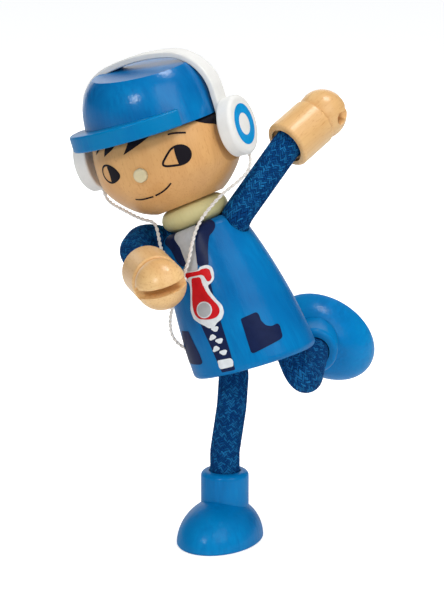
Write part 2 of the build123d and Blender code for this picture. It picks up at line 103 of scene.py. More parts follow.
RIGHT_HAND_PLACE = across((-14.5469, -7.784, 58.1476), (0.285, -0.957, -0.055), (0.926, 0.245, 0.287))

# Lead
LEAD_PLY_TURN = 2.2  # along the lead for one turn of its two plies
LEAD_STEP = 0.09
LEAD_CURVE_STEPS = 24
LEAD_PLY_SIDES = 10
LEAD_PLY_OFFSET = 0.16
LEAD_PLY_RADIUS = 0.21
LEFT_EXIT = (5.68, -2.53, 80.2)
RIGHT_EXIT = (-23.654, 11.148, 70.635)
LEAD_SEAT = 1.0  # how far an end goes up into its earcup
POCKET_END = (-6.55, -3.86, 40.9)
KNOT = (-7.55, -8.82, 56.1)
KNOT_REACH = 0.5  # from the knot's middle to the right lead's end
KNOT_TURNS = ((28, -0.42, 0.62), (-34, 0.0, 0.74), (22, 0.42, 0.62))  # slant, shift and radius
KNOT_STRING_RADIUS = 0.36
KNOT_RING_SIDES = 40
KNOT_TUBE_SIDES = 10
LEFT_LEAD = [
    (6.2, -2.7, 79.0),
    (5.5, -3.2, 76.8),
    (3.5, -4.0, 74.9),
    (0.2, -4.8, 72.5),
    (-2.6, -5.4, 69.3),
    (-4.4, -6.6, 66.8),
    (-5.5, -8.3, 63.5),
    (-6.2, -9.3, 59.7),
    (-8.9, -8.35, 52.5),
    (-10.0, -5.8, 47.9),
    (-9.8, -4.6, 44.3),
    (-8.39, -3.9, 42.06),
]
RIGHT_LEAD = [
    (-23.4, 11.0, 69.5),
    (-22.3, 9.6, 68.2),
    (-19.4, 5.9, 67.4),
    (-15.9, 2.5, 66.2),
    (-13.1, 0.9, 66.0),
    (-12.4, 0.1, 64.3),
    (-12.0, -1.6, 62.2),
    (-11.4, -3.4, 60.6),
    (-9.2, -6.2, 59.2),
]

# Limbs
SLEEVE_RADIUS = 3.0
SLEEVE_SIDES = 128
SLEEVE_STEP = 0.2
CORE_RADIUS = 0.55
CORE_SIDES = 12
BEND_STEPS = 16

# Braid. Waves make it uneven: each has its laps round the tube, its rise along it, a shift, and a
# share of the wander, which is in widths of a strand
BRAID_STRANDS = 32
BRAID_RELIEF = 0.12
BRAID_LEVEL_SHARE = 0.6  # this share of the relief lies under the sleeve's radius
BRAID_ROUND_POWER = 0.7
BRAID_SWELL_SHARE = 0.25
BRAID_WANDER = 0.2
WAVES_AROUND = ((4, 0.9, 0.0, 1.0), (7, -1.7, 1.3, 0.7))
WAVES_ALONG = ((5, -1.1, 2.1, 1.0), (9, 1.3, 0.4, 0.7))

# Each limb has the corners of its middle line from the torso out, the radii of the bends between
# them, and places along the line: where each joint bends and where the sleeve is cut in two
LIMBS = {
    "left_arm": {
        "corners": [
            (1.406, -0.465, 63.054),
            (3.672, -1.597, 68.272),
            (13.108, 2.948, 80.891),
            (16.721, 6.127, 83.553),
        ],
        "bends": [3.2, 5.0],
        "nodes": ("left_upper_arm", "left_forearm"),
        "bodies": ("body", "left_upper_arm", "left_forearm"),
        "root_bend": (4.6, 9.4),
        "cut": 10.0,
        "middle_bend": (10.8, 16.6),
    },
    "right_arm": {
        "corners": [
            (-6.154, 3.06, 59.319),
            (-15.009, 7.057, 62.082),
            (-17.15, -0.685, 60.435),
            (-14.547, -7.784, 58.148),
            (-12.979, -13.047, 57.845),
        ],
        "bends": [3.2, 4.6, 5.0],
        "nodes": ("right_upper_arm", "right_forearm"),
        "bodies": ("body", "right_upper_arm", "right_forearm"),
        "root_bend": (6.6, 12.0),
        "cut": 12.6,
        "middle_bend": (14.0, 19.0),
    },
    "left_leg": {
        "corners": [
            (11.447, -2.114, 46.629),
            (17.004, -4.407, 33.214),
            (19.154, 9.061, 37.166),
            (19.517, 15.02, 37.771),
        ],
        "bends": [3.3, 10.0],
        "nodes": ("left_thigh", "left_shin"),
        "bodies": ("body", "left_thigh", "left_lower_leg"),
        "root_bend": (5.6, 9.6),
        "cut": 10.0,
        "middle_bend": (10.4, 16.4),
    },
    "right_leg": {
        "corners": [
            (-0.298, 3.337, 42.267),
            (2.802, 2.057, 34.784),
            (2.335, 2.201, 27.601),
            (0.957, 2.201, 18.1),
            (0.957, 2.201, 8.1),
        ],
        "bends": [5.0, 12.0, 12.0],
        "nodes": ("right_thigh", "right_shin"),
        "bodies": ("body", "right_thigh", "right_lower_leg"),
        "root_bend": (4.6, 9.2),
        "cut": 10.2,
        "middle_bend": (12.0, 18.4),
    },
}

# Prints, as degrees round from the front towards the left, and millimetres up the axis. Above its
# brim a print goes inwards over the piece's top. At the radius, degrees become millimetres
PRINT_LIFT = 0.05
HEAD_PRINT_GRID = 0.3
TORSO_PRINT_GRID = 0.7
HEAD_PRINT_RADIUS = 14.5
HEAD_BRIM = 4.85
TORSO_PRINT_RADIUS = 10.8
TORSO_BRIM = 29.4
RAY_REACH = 40.0  # outside every piece that has prints
CORNER_STEPS = 5
STROKE_SOFTNESS = 2.0
TOUCHING = 1e-4
DISC_SIDES = 28
INK_WIDTH = 0.42
FINE_INK_WIDTH = 0.34
LEFT_EYE = [
    (21.5, -1.2),
    (26.7, 0.17),
    (31.4, 1.22),
    (36.6, 1.46),
    (41.8, 1.05),
    (45.1, -0.01),
    (45.0, -1.14),
    (42.1, -2.04),
    (36.5, -2.39),
    (29.6, -2.1),
    (23.5, -1.8),
]
LEFT_IRIS = [
    (33.5, 1.35),
    (36.6, 1.46),
    (41.8, 1.05),
    (45.1, -0.01),
    (45.0, -1.14),
    (42.1, -2.04),
    (36.5, -2.39),
    (33.9, -2.34),
    (33.4, -1.2),
    (33.2, -0.2),
]
RIGHT_EYE = [
    (-33.4, 0.92),
    (-36.2, 0.24),
    (-36.9, -0.91),
    (-33.7, -1.97),
    (-28.7, -2.55),
    (-21.6, -2.32),
    (-15.6, -1.48),
    (-17.3, -0.49),
    (-20.0, 0.32),
    (-25.0, 1.0),
    (-29.6, 1.16),
]
RIGHT_IRIS = [
    (-28.4, 1.1),
    (-20.0, 0.32),
    (-17.3, -0.49),
    (-15.6, -1.48),
    (-21.6, -2.32),
    (-28.3, -2.56),
    (-27.3, -1.35),
    (-27.3, -0.2),
]
EYEBROW = [(32.2, 3.94), (35.8, 3.94), (41.2, 3.64), (46.4, 3.24)]
SMILE = [
    [(-14.3, -6.77), (-9.2, -7.11), (-2.9, -7.1), (4.2, -7.03)],
    [(6.5, -6.96), (13.8, -6.6), (20.1, -5.92), (23.7, -5.25)],
]
FRINGE = [
    [(-42.8, 3.3), (-39.7, 4.5), (-33.0, 4.5), (-37.6, 3.8)],
    [(-28.6, 2.75), (-26.0, 4.6), (-12.0, 4.8), (-18.1, 3.78)],
    [(-6.9, 2.4), (-2.3, 3.86), (-0.7, 4.8), (21.0, 4.9), (10.4, 3.82), (1.0, 3.01)],
]
HAIR = [
    (57.0, 4.9),
    (63.5, 3.85),
    (77.4, 2.72),
    (90.0, 1.2),
    (120.0, -2.0),
    (150.0, -4.0),
    (180.0, -4.5),
    (210.0, -4.0),
    (240.0, -2.0),
    (270.0, 1.2),
    (282.6, 2.72),
    (296.5, 3.85),
    (303.0, 4.9),
    (290.0, 7.2),
    (70.0, 7.2),
]
SHIRT = [
    (-21.0, 31.6),
    (21.0, 31.6),
    (20.1, 29.4),
    (14.6, 27.6),
    (10.5, 25.5),
    (7.2, 22.6),
    (5.2, 21.6),
    (-10.0, 22.0),
    (-13.5, 22.85),
    (-6.4, 23.6),
    (-9.6, 27.13),
    (-17.5, 29.2),
]
LEFT_LAPEL = [
    (21.0, 31.6),
    (44.0, 31.6),
    (48.3, 29.36),
    (47.1, 28.63),
    (43.5, 27.93),
    (37.6, 27.38),
    (33.7, 27.18),
    (28.5, 25.87),
    (23.8, 24.13),
    (19.9, 21.91),
    (9.4, 22.31),
    (7.3, 22.87),
    (10.7, 25.53),
    (15.7, 27.53),
    (20.1, 29.4),
]
RIGHT_LAPEL = [
    (-21.0, 31.6),
    (-44.0, 31.6),
    (-47.0, 29.3),
    (-41.1, 28.6),
    (-33.0, 28.0),
    (-26.4, 27.0),
    (-18.9, 24.47),
    (-12.2, 23.29),
    (-6.4, 23.6),
    (-9.6, 27.13),
    (-17.5, 29.2),
]
TAPE = [
    (-3.5, 19.53),
    (14.9, 18.5),
    (13.1, 15.87),
    (11.1, 10.82),
    (9.6, 5.39),
    (7.6, 1.1),
    (-5.9, 1.43),
    (-7.5, 6.88),
    (-10.3, 11.51),
    (-11.7, 15.44),
]
SLIDER_EDGE = [
    (-12.5, 22.6),
    (-6.1, 22.21),
    (0.7, 21.75),
    (6.5, 21.75),
    (9.5, 22.2),
    (17.7, 22.1),
    (22.3, 21.45),
    (22.5, 20.42),
    (20.1, 19.0),
    (15.5, 18.45),
    (10.9, 18.3),
    (11.9, 16.83),
    (14.9, 15.17),
    (18.2, 13.75),
    (17.6, 12.34),
    (13.3, 11.22),
    (6.6, 10.85),
    (3.4, 10.2),
    (-2.6, 10.4),
    (-5.8, 11.1),
    (-11.2, 11.99),
    (-16.6, 13.12),
    (-17.4, 14.89),
    (-13.0, 16.93),
    (-8.9, 19.23),
    (-9.5, 20.2),
    (-13.2, 20.6),
]
SLIDER_HOOK = [
    (-12.2, 22.1),
    (7.3, 21.5),
    (10.2, 21.65),
    (16.2, 21.5),
    (19.0, 21.0),
    (18.2, 19.4),
    (15.4, 18.9),
    (12.2, 19.0),
    (10.6, 20.25),
    (8.6, 20.65),
    (-6.8, 21.05),
    (-11.2, 20.7),
]
SLIDER_PULL = [
    (-4.6, 20.7),
    (6.4, 20.35),
    (6.1, 18.95),
    (7.6, 17.13),
    (10.8, 15.46),
    (14.2, 14.05),
    (14.5, 13.02),
    (11.9, 12.2),
    (6.9, 11.84),
    (-0.6, 12.07),
    (-9.6, 12.76),
    (-13.2, 13.85),
    (-13.2, 15.27),
    (-11.0, 16.86),
    (-7.3, 18.61),
]
PULL_HOLE = (-0.9, 14.09)
PULL_HOLE_RADIUS = 1.38
PULL_RING_RADIUS = 1.62
TOOTH = [
    (-4.1, 0.25),
    (-3.0, 0.6),
    (3.2, 0.5),
    (4.3, 0.15),
    (3.0, -0.15),
    (1.6, -0.5),
    (-1.4, -0.4),
    (-2.4, -0.05),
]
RIGHT_TEETH = [(3.0, 9.8), (3.0, 7.34), (2.9, 4.96)]
LEFT_TEETH = [(-2.4, 8.64), (-3.0, 6.3)]
STOP = [(-5.8, 3.98), (7.6, 3.56), (9.0, 2.95), (7.3, 1.85), (-5.6, 2.13), (-6.7, 2.58)]
LEFT_POCKET = [
    (29.5, 9.91),
    (45.6, 10.0),
    (47.3, 9.41),
    (46.7, 8.12),
    (49.1, 6.86),
    (53.8, 6.24),
    (60.6, 6.33),
    (62.4, 5.73),
    (60.2, 3.51),
    (57.0, 3.19),
    (28.8, 2.75),
    (26.7, 3.08),
]
RIGHT_POCKET = [
    (-30.5, 11.2),
    (-46.6, 11.6),
    (-48.3, 11.1),
    (-49.0, 10.3),
    (-52.0, 9.2),
    (-57.0, 8.6),
    (-62.0, 8.5),
    (-63.4, 7.9),
    (-61.0, 5.3),
    (-57.5, 5.0),
    (-27.5, 4.2),
    (-24.0, 4.5),
    (-24.2, 6.26),
]
EAR_RING = (2.2, 4.1)  # its inner and outer radius
EAR_RING_SIDES = 64
EAR_FACE = 18.23  # from the head's middle to the outer face of an earcup
EAR_HEIGHT = 1.2

# Colours, as linear red, green and blue
BLUE = (0.0, 0.15, 0.41)
BLUE_LIGHT = (0.0, 0.195, 0.485)
BLUE_DEEP = (0.0, 0.115, 0.345)
BOOT_BLUE = (0.0, 0.19, 0.5)
BOOT_BLUE_LIGHT = (0.0, 0.24, 0.57)
VISOR_BLUE = (0.0, 0.185, 0.43)
RING_BLUE = (0.0, 0.29, 0.66)
NAVY = (0.009, 0.017, 0.066)
RED = (0.62, 0.012, 0.018)
PALE_GREY = (0.46, 0.48, 0.5)
INK_WHITE = (0.76, 0.8, 0.83)
BLACK = (0.012, 0.01, 0.014)
WHITE = (0.8, 0.79, 0.76)
FACE_WOOD = (0.71, 0.39, 0.145)
FACE_WOOD_DARK = (0.52, 0.24, 0.075)
HAND_WOOD = (0.86, 0.56, 0.25)
HAND_WOOD_DARK = (0.55, 0.24, 0.06)
NOSE_WOOD = (0.7, 0.6, 0.37)
COLLAR_WOOD = (0.66, 0.6, 0.3)
BARE_WOOD = (0.7, 0.5, 0.3)
METAL = (0.75, 0.75, 0.75)
BRAID_BLUE = (0.002, 0.055, 0.205)
# The braid's dark: painted shade in the gaps between strands, and its darker fibres and patches
BRAID_DARK_AND_SHADE = (0.001, 0.01, 0.055)
BRAID_LIGHT = (0.012, 0.165, 0.42)
BRAID_FLUFF = (0.03, 0.2, 0.44)
STRING_WHITE = (0.84, 0.82, 0.78)
STRING_SHADE = (0.62, 0.55, 0.5)
FLOOR = (0.93, 0.93, 0.93)
BACKDROP = (0.94, 0.97, 1.0)

# Studio: each light's place, the side of its square, and its power
MIDDLE = (0, 0, 55)
LIGHTS = {
    "key_light": ((300, -400, 400), 420, 1.15),
    "left_light": ((-213, -442, 324), 100, 0.75),
    "top_light": ((150, -20, 560), 150, 1.2),
    "back_light": ((-60, 620, 110), 700, 1.9),
}
WORLD_LIGHT = 0.4
WORLD_SEEN = 1.1
FLOOR_HALF = 6000.0
FLOOR_DROP = 0.05
FLOOR_GLOW = 0.62  # seen by the camera alone, so that the floor is as pale as in the photograph


def metres(points):
    """Points in millimetres as an array in metres."""
    return np.array(points, float) * MM


def length_along(points):
    """How far each point is along the line of them all, from its first."""
    steps = np.linalg.norm(np.diff(points, axis=0), axis=1)
    return np.concatenate([[0.0], np.cumsum(steps)])


def spaced(points, count):
    """As many points as asked for, evenly spaced along a line of points."""
    gone = length_along(points)
    even = np.linspace(0, gone[-1], count)
    return np.stack([np.interp(even, gone, points[:, axis]) for axis in range(3)], 1)


def circle(sides):
    """The angles of evenly spaced sides, in radians."""
    return np.arange(sides) / sides * 2 * math.pi


def spokes(side, other, angles):
    """Unit vectors at angles from side towards other, for each place along a line."""
    return side[:, None] * np.cos(angles)[None, :, None] + other[:, None] * np.sin(angles)[None, :, None]


def mesh_piece(name, points, faces, uvs=None):
    """A new smooth mesh object from points in metres, with a UV for each point if given."""
    mesh = bpy.data.meshes.new(name)
    mesh.from_pydata([tuple(p) for p in points], [], faces)
    mesh.validate()
    mesh.polygons.foreach_set("use_smooth", [True] * len(mesh.polygons))
    if uvs is not None:
        layer = mesh.uv_layers.new(name="along")
        corner = np.empty(len(mesh.loops), int)
        mesh.loops.foreach_get("vertex_index", corner)
        layer.data.foreach_set("uv", np.asarray(uvs, np.float32)[corner].ravel())
    piece = bpy.data.objects.new(name, mesh)
    bpy.context.scene.collection.objects.link(piece)
    return piece


def dress(piece, look):
    """Gives a piece one material."""
    piece.data.materials.clear()
    piece.data.materials.append(look)


def transported(line):
    """Unit vectors along a line of points, and two square to them that don't twist round it."""
    along = np.gradient(line, axis=0)
    along /= np.linalg.norm(along, axis=1)[:, None]
    side = np.cross(along[0], FIRST_SIDE)
    sides = []
    for way in along:
        side = side - way * (side @ way)
        side /= np.linalg.norm(side)
        sides.append(side)
    sides = np.array(sides)
    return along, sides, np.cross(along, sides)


def tube_faces(rings, sides, first=0):
    """The faces of a tube of closed rings of points, the quads between them and its two ends."""
    faces = []
    for ring in range(rings - 1):
        for side in range(sides):
            a = first + ring * sides + side
            b = first + ring * sides + (side + 1) % sides
            faces.append((a, b, b + sides, a + sides))
    last = first + (rings - 1) * sides
    faces.append(tuple(range(first, first + sides))[::-1])
    faces.append(tuple(range(last, last + sides)))
    return faces


# The camera
camera = bpy.data.objects.new("camera", bpy.data.cameras.new("camera"))
bpy.context.scene.collection.objects.link(camera)
camera.location = metres(CAMERA_PLACE)
camera.rotation_euler = (math.radians(90 - CAMERA_DOWN), 0, 0)
camera.data.sensor_fit = "VERTICAL"
camera.data.sensor_height = SENSOR_MM
camera.data.lens = LENS_MM
camera.data.clip_start = NEAREST_SEEN * MM
bpy.context.scene.camera = camera
bpy.context.scene.render.resolution_x, bpy.context.scene.render.resolution_y = RENDER_SIZE


# The lead
def spline_line(name, corners):
    """The smooth line that corners steer, as evenly spaced points in metres."""
    curve = bpy.data.curves.new(name, "CURVE")
    curve.dimensions = "3D"
    curve.resolution_u = LEAD_CURVE_STEPS
    spline = curve.splines.new("NURBS")
    spline.points.add(len(corners) - 1)
    for point, corner in zip(spline.points, metres(corners)):
        point.co = (*corner, 1.0)
    spline.order_u = 3
    spline.use_endpoint_u = True
    holder = bpy.data.objects.new(name, curve)
    bpy.context.scene.collection.objects.link(holder)
    drawn = bpy.data.meshes.new_from_object(holder)
    raw = np.array([v.co for v in drawn.vertices])
    bpy.data.objects.remove(holder)
    bpy.data.curves.remove(curve)
    bpy.data.meshes.remove(drawn)
    return spaced(raw, round(length_along(raw)[-1] / (LEAD_STEP * MM)))


def twisted(name, line):
    """A string of two plies twisted round each other along a line."""
    along, side, other = transported(line)
    rings = len(line)
    gone = np.arange(rings) * LEAD_STEP
    turn = gone / LEAD_PLY_TURN * 2 * math.pi
    round_ply = circle(LEAD_PLY_SIDES)
    grid = np.stack(np.meshgrid(gone, round_ply, indexing="ij"), -1)
    points, faces, uvs = [], [], []
    for start in (0.0, math.pi):
        out = side * np.cos(turn + start)[:, None] + other * np.sin(turn + start)[:, None]
        centre = line + out * LEAD_PLY_OFFSET * MM
        ring = spokes(out, np.cross(along, out), round_ply)
        faces += tube_faces(rings, LEAD_PLY_SIDES, len(points))
        points += list((centre[:, None] + ring * LEAD_PLY_RADIUS * MM).reshape(-1, 3))
        uvs += list(grid.reshape(-1, 2))
    return mesh_piece(name, points, faces, uvs)


def blend_with_head(piece):
    """Bakes the place of a piece of the lead into its mesh."""
    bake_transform(piece)


into_ear = HEAD_PLACE[3] * LEAD_SEAT
left_line = spline_line("left_line", [LEFT_EXIT + into_ear, *LEFT_LEAD, POCKET_END])
near_knot = KNOT + unit(np.subtract(RIGHT_LEAD[-1], KNOT)) * KNOT_REACH
right_line = spline_line("right_line", [RIGHT_EXIT + into_ear, *RIGHT_LEAD, near_knot])
left_string = twisted("left_string", left_line)
right_string = twisted("right_string", right_line)


def make_knot():
    """A small overhand knot: turns of string laid round the lead at different slants."""
    points, faces, uvs = [], [], []
    near = np.argmin(np.linalg.norm(left_line - metres(KNOT), axis=1))
    centre = Vector(left_line[near])
    along = Vector(left_line[near + 3] - left_line[near - 3]).normalized()
    for slant, shift, turn_radius in KNOT_TURNS:
        axis = Matrix.Rotation(math.radians(slant), 3, along.orthogonal()) @ along
        side = axis.orthogonal().normalized()
        other = axis.cross(side)
        base = len(points)
        for angle in circle(KNOT_RING_SIDES):
            out = side * math.cos(angle) + other * math.sin(angle)
            for roll in circle(KNOT_TUBE_SIDES):
                tube = (out * math.cos(roll) + axis * math.sin(roll)) * KNOT_STRING_RADIUS
                points.append(centre + (along * shift + out * turn_radius + tube) * MM)
                uvs.append((turn_radius * angle, roll))
        for ring in range(KNOT_RING_SIDES):
            this = base + ring * KNOT_TUBE_SIDES
            after = base + (ring + 1) % KNOT_RING_SIDES * KNOT_TUBE_SIDES
            for part in range(KNOT_TUBE_SIDES):
                beside = (part + 1) % KNOT_TUBE_SIDES
                faces.append((this + part, after + part, after + beside, this + beside))
    return mesh_piece("string_knot", points, faces, uvs)


string_knot = make_knot()
lead_nodes = {"left_lead": left_string, "right_lead": right_string, "lead_knot": string_knot}
for node, piece in lead_nodes.items():
    blend_with_head(piece)
    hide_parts(node)


# Limbs
def bent_line(corners, bends):
    """Evenly spaced points along straight runs joined by round bends, in millimetres."""
    raw = [corners[0]]
    for before, corner, after, radius in zip(corners, corners[1:], corners[2:], bends):
        come, go = unit(np.subtract(corner, before)), unit(np.subtract(after, corner))
        turn = math.acos(come @ go)
        cut = radius * math.tan(turn / 2)
        centre = corner + unit(go - come) * radius / math.cos(turn / 2)
        start, end = corner - come * cut - centre, corner + go * cut - centre
        for share in np.linspace(0, 1, BEND_STEPS + 1):
            spoke = start * math.sin((1 - share) * turn) + end * math.sin(share * turn)
            raw.append(centre + spoke / math.sin(turn))
    raw = np.array([*raw, corners[-1]])
    return spaced(raw, round(length_along(raw)[-1] / SLEEVE_STEP) + 1)


def braid_height(around, along):
    """How proud a braided surface is, from 0 to 1, with one unit the width of a strand."""
    a, b = around + along, around - along
    strand_a, strand_b = np.floor(a), np.floor(b)
    over = np.mod(strand_a + strand_b, 4) < 2
    across = np.where(over, a - strand_a, b - strand_b)
    lengthways = np.where(over, b - strand_b, a - strand_a)
    swell = 1 - BRAID_SWELL_SHARE + BRAID_SWELL_SHARE * np.sin(math.pi * lengthways)
    return np.sin(math.pi * across) ** BRAID_ROUND_POWER * swell


def waved(waves, around, along):
    """How far waves move a place on a braid."""
    turn = 2 * math.pi / BRAID_STRANDS
    return BRAID_WANDER * sum(
        share * np.sin(laps * turn * around + rise * along + shift) for laps, rise, shift, share in waves
    )


def wandering(around, along):
    """The two coordinates of a braid, made uneven, which still meet all round the tube."""
    return around + waved(WAVES_AROUND, around, along), along + waved(WAVES_ALONG, around, along)


def tube_piece(name, line, frames, radius, sides, strands, start):
    """A round tube along a line in millimetres, in relief if it has strands."""
    _, side, other = frames
    around = np.arange(sides) / sides * strands
    along = (np.arange(len(line)) + start) * SLEEVE_STEP / (2 * math.pi * SLEEVE_RADIUS) * strands
    grid_along, grid_around = np.meshgrid(along, around, indexing="ij")
    proud = np.full(grid_along.shape, radius)
    if strands:
        grid_around, grid_along = wandering(grid_around, grid_along)
        proud += BRAID_RELIEF * (braid_height(grid_around, grid_along) - BRAID_LEVEL_SHARE)
    points = line[:, None] + spokes(side, other, circle(sides)) * proud[..., None]
    piece = mesh_piece(name, points.reshape(-1, 3) * MM, tube_faces(len(line), sides))
    layer = piece.data.uv_layers.new(name="along")
    for polygon in piece.data.polygons:
        places = [divmod(vertex, sides) for vertex in polygon.vertices]
        at_last_spoke = any(spoke == sides - 1 for _, spoke in places)
        for loop, (ring, spoke) in zip(polygon.loop_indices, places):
            lap = strands if spoke == 0 and at_last_spoke else 0
            layer.data[loop].uv = (grid_around[ring, spoke] + lap, grid_along[ring, spoke])
    return piece


sleeves, cores = [], []
for limb in LIMBS.values():
    line = bent_line(limb["corners"], limb["bends"])
    frames = transported(line)
    cut = round(limb["cut"] / SLEEVE_STEP)
    parts = ((0, cut + 1, limb["root_bend"]), (cut, len(line), limb["middle_bend"]))
    for part, (low, high, bend) in enumerate(parts):
        node = limb["nodes"][part]
        span_frames = [vectors[low:high] for vectors in frames]
        for kind, stands_for, radius, sides, strands, made in (
            ("sleeve", "rope", SLEEVE_RADIUS, SLEEVE_SIDES, BRAID_STRANDS, sleeves),
            ("core", "wire", CORE_RADIUS, CORE_SIDES, 0, cores),
        ):
            piece = tube_piece(f"{node}_{kind}", line[low:high], span_frames, radius, sides, strands, low)
            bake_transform(piece)
            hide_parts(f"{node}_{stands_for}")
            made.append(piece)


# Looks
class Look:
    """A procedural material, built node by node on one shader."""

    def __init__(self, name, roughness, **fixed):
        self.material = bpy.data.materials.new(name)
        self.material.use_nodes = True
        self.nodes = self.material.node_tree.nodes
        self.links = self.material.node_tree.links
        self.shader = next(n for n in self.nodes if n.type == "BSDF_PRINCIPLED")
        self.shader.inputs["Roughness"].default_value = roughness
        for socket, value in fixed.items():
            self.shader.inputs[socket.replace("_", " ")].default_value = value

    def node(self, kind, settings=None, **inputs):
        """A new node with its settings and inputs."""
        made = self.nodes.new(kind)
        for key, value in (settings or {}).items():
            setattr(made, key, value)
        for key, value in inputs.items():
            self.feed(made.inputs[key.replace("_", " ")], value)
        return made

    def feed(self, socket, value):
        """Links a socket to another, or gives it a constant value."""
        if isinstance(value, bpy.types.NodeSocket):
            self.links.new(value, socket)
        elif isinstance(value, tuple) and len(value) == 3 and socket.type == "RGBA":
            socket.default_value = (*value, 1.0)
        else:
            socket.default_value = value

    def sum(self, operation, a, b=0.0, c=None):
        """The result of a Math node."""
        made = self.nodes.new("ShaderNodeMath")
        made.operation = operation
        self.feed(made.inputs[0], a)
        self.feed(made.inputs[1], b)
        if c is not None:
            self.feed(made.inputs[2], c)
        return made.outputs[0]

    def place(self, place, scale=(1, 1, 1)):
        """Coordinates in the frame of a turned piece, in millimetres times scale."""
        turn = Matrix([Vector(axis).normalized() for axis in place[1:]])
        origin = turn @ Vector(place[0])
        coords = self.node("ShaderNodeTexCoord").outputs["Object"]
        mapping = self.node("ShaderNodeMapping", Vector=coords)
        mapping.inputs["Scale"].default_value = (1 / MM, 1 / MM, 1 / MM)
        mapping.inputs["Rotation"].default_value = turn.to_euler()
        mapping.inputs["Location"].default_value = -origin
        stretch = self.node("ShaderNodeMapping", Vector=mapping.outputs[0])
        stretch.inputs["Scale"].default_value = scale
        return stretch.outputs[0]

    def noise(self, coords, scale, detail=3.0, roughness=0.55):
        """Noise from 0 to 1."""
        inputs = {"Vector": coords, "Scale": scale, "Detail": detail, "Roughness": roughness}
        return self.node("ShaderNodeTexNoise", **inputs).outputs["Fac"]

    def between(self, value, low, high):
        """A value as a smooth step from 0 at low to 1 at high."""
        made = self.node("ShaderNodeMapRange", {"interpolation_type": "SMOOTHSTEP"}, Value=value)
        made.inputs["From Min"].default_value = low
        made.inputs["From Max"].default_value = high
        return made.outputs[0]

    def mix(self, share, a, b):
        """The colour a with a share of b."""
        made = self.nodes.new("ShaderNodeMix")
        made.data_type = "RGBA"
        self.feed(made.inputs[0], share)
        self.feed(made.inputs[6], a)
        self.feed(made.inputs[7], b)
        return made.outputs[2]

    def bump(self, height, distance, strength=1.0):
        """Relief for the surface and its coat, with distance in millimetres."""
        made = self.node("ShaderNodeBump", Height=height, Distance=distance * MM, Strength=strength)
        for normal in ("Normal", "Coat Normal"):
            self.links.new(made.outputs[0], self.shader.inputs[normal])

    def colour(self, value):
        """Gives the shader its colour."""
        self.feed(self.shader.inputs["Base Color"], value)


def shaded(colour, share):
    """A share of a colour's light."""
    return tuple(share * part for part in colour)


def painted(name, place, colour, light, deep, coat=0.16):
    """Gloss paint on turned wood: uneven blue, with the grain faint under it."""
    look = Look(name, 0.4, Coat_Weight=coat, Coat_Roughness=0.16, Specular_IOR_Level=0.05)
    broad = look.noise(look.place(place), 0.055, 2.0)
    streak = look.noise(look.place(place, (1, 1, 0.12)), 1.1, 4.0, 0.6)
    fine = look.noise(look.place(place), 2.6, 2.0)
    tint = look.mix(look.between(broad, 0.38, 0.66), deep, light)
    tint = look.mix(look.between(streak, 0.3, 0.75), tint, colour)
    look.colour(tint)
    height = look.sum("MULTIPLY_ADD", streak, 0.6, look.sum("MULTIPLY", fine, 0.4))
    look.bump(height, 0.12, 0.55)
    return look.material


def varnished(name, place, colour, dark, flecks=0.5, coat=0.2):
    """Satin varnish on pale turned wood: bands, streaks and short flecks along its grain."""
    look = Look(name, 0.45, Coat_Weight=coat, Coat_Roughness=0.25, Specular_IOR_Level=0.25)
    bands = look.noise(look.place(place, (1, 1, 0.18)), 0.16, 2.0)
    streak = look.noise(look.place(place, (1, 1, 0.06)), 2.2, 4.0, 0.62)
    fleck = look.noise(look.place(place, (1, 1, 0.3)), 3.2, 1.0)
    band = tuple(0.55 * c + 0.45 * d for c, d in zip(colour, dark))
    tint = look.mix(look.between(bands, 0.3, 0.72), colour, band)
    tint = look.mix(look.sum("MULTIPLY", look.between(streak, 0.45, 0.8), 0.4), tint, dark)
    tint = look.mix(look.sum("MULTIPLY", look.between(fleck, 0.6, 0.72), flecks), tint, dark)
    look.colour(tint)
    look.bump(look.sum("ADD", streak, look.sum("MULTIPLY", fleck, 0.3)), 0.05, 0.4)
    return look.material


def plain_paint(name, colour, roughness=0.4, coat=0.2, uneven=0.06):
    """Flat paint or ink, very slightly uneven."""
    look = Look(name, roughness, Coat_Weight=coat / 2, Coat_Roughness=0.25, Specular_IOR_Level=0.04)
    cloud = look.noise(look.place(BODY_PLACE), 0.7, 3.0)
    shade = shaded(colour, 1 - 2.5 * uneven)
    look.colour(look.mix(look.between(cloud, 0.3, 0.75), colour, shade))
    look.bump(look.noise(look.place(BODY_PLACE), 3.0, 2.0), 0.03, 0.3)
    return look.material


